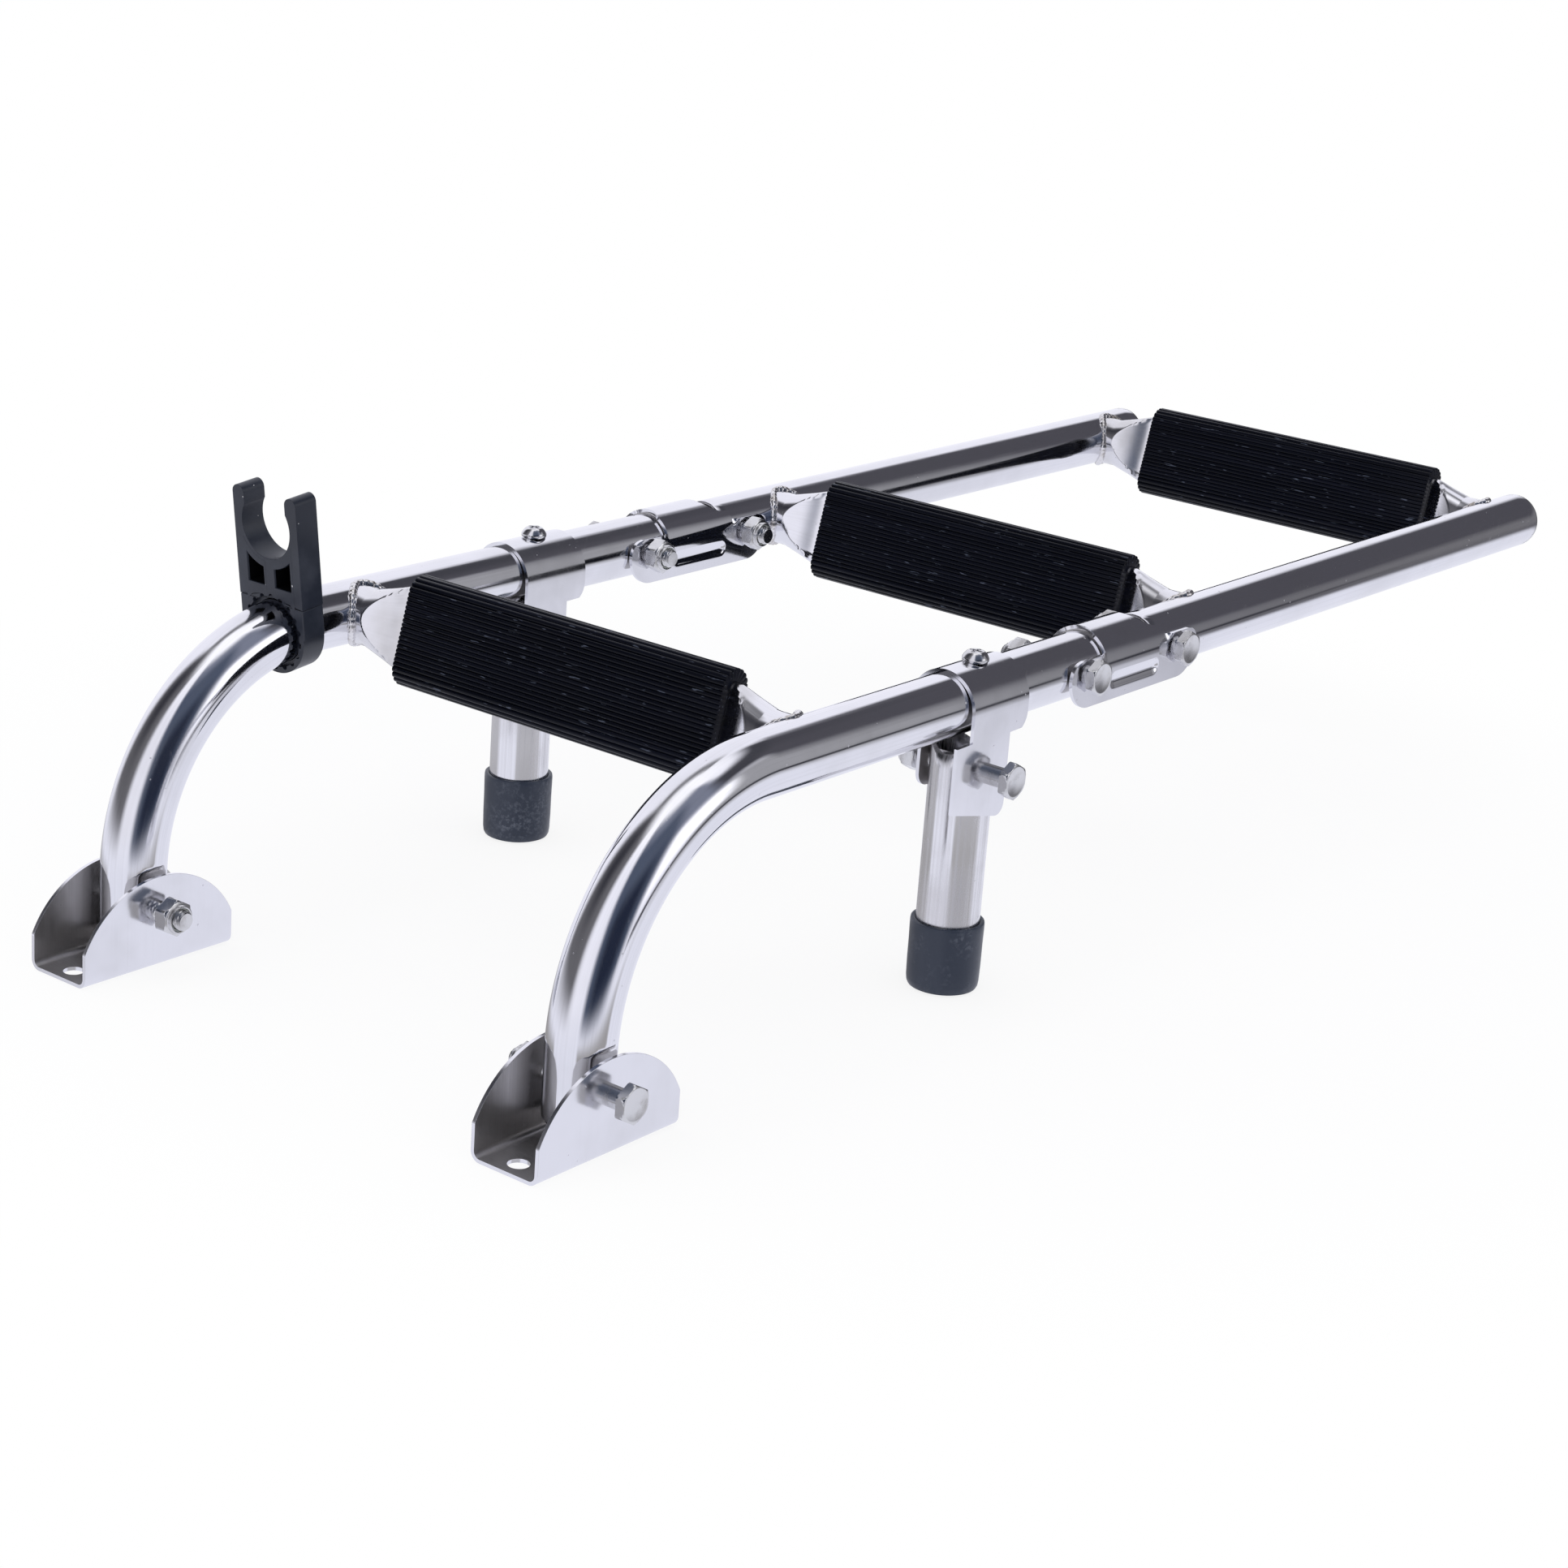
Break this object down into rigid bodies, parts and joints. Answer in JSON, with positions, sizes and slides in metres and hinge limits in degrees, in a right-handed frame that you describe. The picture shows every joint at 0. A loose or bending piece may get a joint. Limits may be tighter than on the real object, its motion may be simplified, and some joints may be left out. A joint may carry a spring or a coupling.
{
  "type": "folding boat boarding ladder",
  "caption": "Folding stainless steel boat ladder with flat ribbed steps, folding standoff legs, pivot brackets and a storage clip for the folded lower section.",
  "frame": {"origin": "middle of the right bracket's flat base face", "axes": "+X along the rails toward the lower step, +Y toward the left rail, +Z away from the mounting surface"},
  "size_m": [0.7201, 0.2904, 0.1762],
  "materials": {
    "polished_steel": "mirror polished stainless steel tube and folded sheet",
    "fastener_steel": "plain stainless bolts, lock nuts and pan head screws",
    "tread_plastic": "extruded ribbed black plastic",
    "moulded_plastic": "moulded charcoal plastic",
    "tip_rubber": "moulded slate black rubber"
  },
  "bodies": {
    "deck_mounts": {"right_bracket": "polished_steel", "left_bracket": "polished_steel", "right_pivot_bolt": "fastener_steel", "left_pivot_bolt": "fastener_steel", "right_pivot_nut": "fastener_steel", "left_pivot_nut": "fastener_steel"},
    "upper_section": {"right_upper_rail": "polished_steel", "left_upper_rail": "polished_steel", "right_rail_foot_plug": "moulded_plastic", "left_rail_foot_plug": "moulded_plastic", "step_1_bar": "polished_steel", "step_1_tread": "tread_plastic", "right_tee": "polished_steel", "left_tee": "polished_steel", "right_tee_screw": "fastener_steel", "left_tee_screw": "fastener_steel", "right_leg_bolt": "fastener_steel", "left_leg_bolt": "fastener_steel", "right_leg_nut": "fastener_steel", "left_leg_nut": "fastener_steel", "storage_clip": "moulded_plastic", "clip_saddle": "moulded_plastic"},
    "right_link": {"right_hinge_channel": "polished_steel", "right_hinge_bolt_1": "fastener_steel", "right_hinge_bolt_2": "fastener_steel", "right_hinge_nut_1": "fastener_steel", "right_hinge_nut_2": "fastener_steel"},
    "left_link": {"left_hinge_channel": "polished_steel", "left_hinge_bolt_1": "fastener_steel", "left_hinge_bolt_2": "fastener_steel", "left_hinge_nut_1": "fastener_steel", "left_hinge_nut_2": "fastener_steel"},
    "lower_section": {"right_lower_rail": "polished_steel", "left_lower_rail": "polished_steel", "right_end_plug": "moulded_plastic", "left_end_plug": "moulded_plastic", "step_2_bar": "polished_steel", "step_2_tread": "tread_plastic", "step_3_bar": "polished_steel", "step_3_tread": "tread_plastic"},
    "right_standoff": {"right_leg": "polished_steel", "right_leg_tip": "tip_rubber"},
    "left_standoff": {"left_leg": "polished_steel", "left_leg_tip": "tip_rubber"}
  },
  "joints": [
    {"name": "mount_pivot", "type": "hinge", "parent": "deck_mounts", "child": "upper_section", "pos_m": [0, 0, 0.0228], "axis": [0, 1, 0], "range_deg": [-90, 0]},
    {"name": "fold_inner", "type": "hinge", "parent": "upper_section", "child": "left_link", "pos_m": [0.28, 0.23, 0.119], "axis": [0, -1, 0], "range_deg": [0, 90]},
    {"name": "fold_inner_right", "type": "hinge", "parent": "upper_section", "child": "right_link", "pos_m": [0.28, 0, 0.119], "axis": [0, -1, 0], "range_deg": [0, 90]},
    {"name": "fold_outer", "type": "hinge", "parent": "left_link", "child": "lower_section", "pos_m": [0.3465, 0.23, 0.119], "axis": [0, -1, 0], "range_deg": [0, 96.5]},
    {"name": "right_leg_fold", "type": "hinge", "parent": "upper_section", "child": "right_standoff", "pos_m": [0.2165, 0, 0.091], "axis": [0, 1, 0], "range_deg": [0, 90]},
    {"name": "left_leg_fold", "type": "hinge", "parent": "upper_section", "child": "left_standoff", "pos_m": [0.2165, 0.23, 0.091], "axis": [0, 1, 0], "range_deg": [0, 90]}
  ],
  "couplings": [
    {"joint": "fold_inner_right", "follows": "fold_inner", "ratio": 1}
  ]
}
